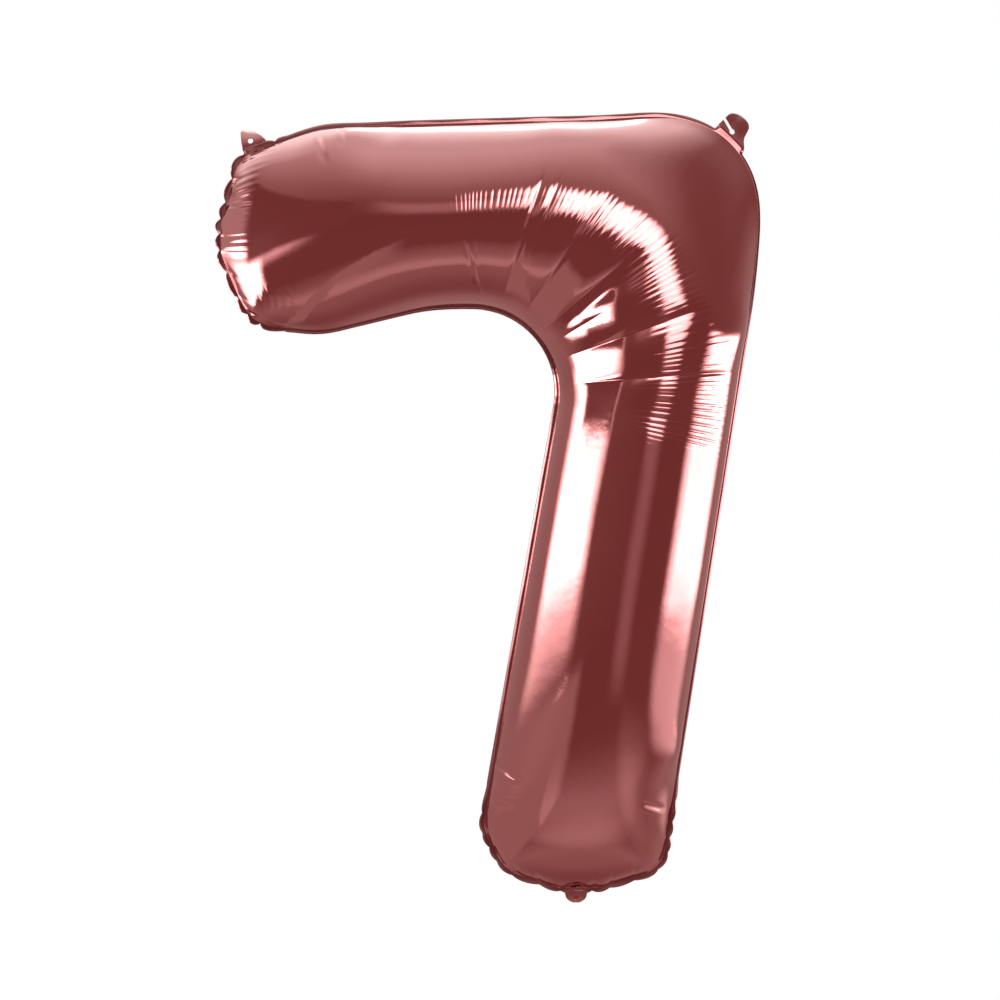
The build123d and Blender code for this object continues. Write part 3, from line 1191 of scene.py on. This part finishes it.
def make_cards():
    for row in SIDE_CARDS:
        side_card(*row)
    for row in FRONT_CARDS:
        front_card(*row)
    card("table_card", (0.0, -0.50, -0.34), (0.0, 0, -0.34), (2.6, 0.86), 0.26, (1.2, 0.36))
    card("foot_card", (0.50, -0.40, -0.22), (0, -0.40, -0.22), (1.50, 0.64), 0.20, (0.7, 0.30))
    card("top_card", (0.0, 1.3, 2.1), (-0.10, 0, 0.76), (0.9, 0.6), 3.0, (0.3, 0.25))
    for row in END_CARDS:
        beside_end(*row)
    shade("foot_shade", (-0.40, -0.30, -0.07), (0, -0.30, -0.07), (1.30, 0.66), 0.32, (0.3, 0.06))


def make_ceiling_light():
    light = bpy.data.lights.new("ceiling_light", "AREA")
    light.size = 3.0
    light.energy = 120
    holder = linked("ceiling_light", light)
    holder.location = (0, 0, 3.0)
    holder.visible_glossy = False
    holder.visible_camera = False


FRONT_TONES = (  # the room in front, from straight down (-1) to straight up (1)
    (-1.0, 0.27), (-0.85, 0.31), (-0.63, 0.18), (-0.36, 0.18), (-0.05, 0.17),
    (0.24, 0.22), (0.53, 0.31), (0.78, 0.41), (0.95, 0.50), (1.0, 0.54),
)
BACK_TONES = (  # and the room behind
    (-1.0, 0.17), (-0.8, 0.30), (-0.5, 0.32), (0.0, 0.28), (0.25, 0.33),
    (0.5, 0.68), (0.8, 0.72), (1.0, 0.54),
)
BEHIND = ((-0.15, 0.0), (0.35, 1.0))  # y of a direction, and its share of the back's tones
CORNER = (0.88, 0.0, 0.47)  # the room is dark towards its upper right
CORNER_SHADE = ((0.66, 0.0), (0.90, 0.9))  # how directly a direction points there, and share
CORNER_TONE = 0.20


def grey(value):
    return (value, value, value, 1)


def ramp_of(tree, value, stops, shown):
    """A ramp over one part of a direction, which goes from -1 to 1."""
    ramp = tree.nodes.new("ShaderNodeValToRGB")
    tree.links.new(ranged(tree, value, 0, 1, -1, 1), ramp.inputs["Fac"])
    elements = ramp.color_ramp.elements
    while len(elements) < len(stops):
        elements.new(0.5)
    for element, (place, tone) in zip(elements, stops):
        element.position = (place + 1) / 2
        element.color = shown(tone)
    return ramp.outputs["Color"]


def room_colour(tree):
    """The dim warm room that the film mirrors: front and back by height, and a dark corner."""
    nodes, joins = tree.nodes, tree.links
    place = nodes.new("ShaderNodeTexCoord")
    parts = nodes.new("ShaderNodeSeparateXYZ")
    joins.new(place.outputs["Generated"], parts.inputs["Vector"])
    front = ramp_of(tree, parts.outputs["Z"], FRONT_TONES, seen)
    back = ramp_of(tree, parts.outputs["Z"], BACK_TONES, seen)
    behind = ramp_of(tree, parts.outputs["Y"], BEHIND, grey)
    both = colour_mix(tree, behind)
    joins.new(front, both.inputs["A"])
    joins.new(back, both.inputs["B"])
    towards = nodes.new("ShaderNodeVectorMath")
    towards.operation = "DOT_PRODUCT"
    towards.inputs[1].default_value = CORNER
    joins.new(place.outputs["Generated"], towards.inputs[0])
    dark = ramp_of(tree, towards.outputs["Value"], CORNER_SHADE, grey)
    darker = colour_mix(tree, dark)
    joins.new(both.outputs["Result"], darker.inputs["A"])
    darker.inputs["B"].default_value = seen(CORNER_TONE)
    return darker.outputs["Result"]


def make_world():
    """White where the camera looks past the object, and the room everywhere else."""
    world = bpy.data.worlds.new("world")
    world.use_nodes = True
    bpy.context.scene.world = world
    tree = world.node_tree
    nodes, joins = tree.nodes, tree.links
    room = nodes["Background"]
    room.inputs["Strength"].default_value = ROOM
    joins.new(room_colour(tree), room.inputs["Color"])
    white = nodes.new("ShaderNodeBackground")
    white.inputs["Color"].default_value = (1, 1, 1, 1)
    rays = nodes.new("ShaderNodeLightPath")
    choice = nodes.new("ShaderNodeMixShader")
    joins.new(rays.outputs["Is Camera Ray"], choice.inputs["Fac"])
    joins.new(room.outputs["Background"], choice.inputs[1])
    joins.new(white.outputs["Background"], choice.inputs[2])
    joins.new(choice.outputs["Shader"], nodes["World Output"].inputs["Surface"])


def make_floor():
    low, _ = cad_box
    floor = rectangle("floor", (FLOOR_SIZE, FLOOR_SIZE), low[2] - FLOOR_DROP)
    floor.visible_glossy = False
    material, tree, shader = principled("floor", Roughness=0.6)
    tinted(tree, shader, noise(tree, 3.0), (0.82, 0.82, 0.82), (0.86, 0.86, 0.86))
    cover(floor, material)


# ---- build

film = film_material("rose_film")
# The seam's film is painted darker, to 0.6 of the film's colour: painted shade standing in for
# the dark reflections along the welded flange.
welded_film_painted_shade = film_material("rose_welded_film", 0.14, 0.00008, 0.6)
tab_film = film_material("rose_tab_film", 0.10, 0.00010, 0.9)
make_envelope(film, welded_film_painted_shade)
make_tabs(tab_film)
make_neck(tab_film, NECK_FOLD)
finish_valve()
make_floor()
make_cards()
make_ceiling_light()
make_world()
make_camera()
bpy.context.scene.view_settings.view_transform = "Standard"
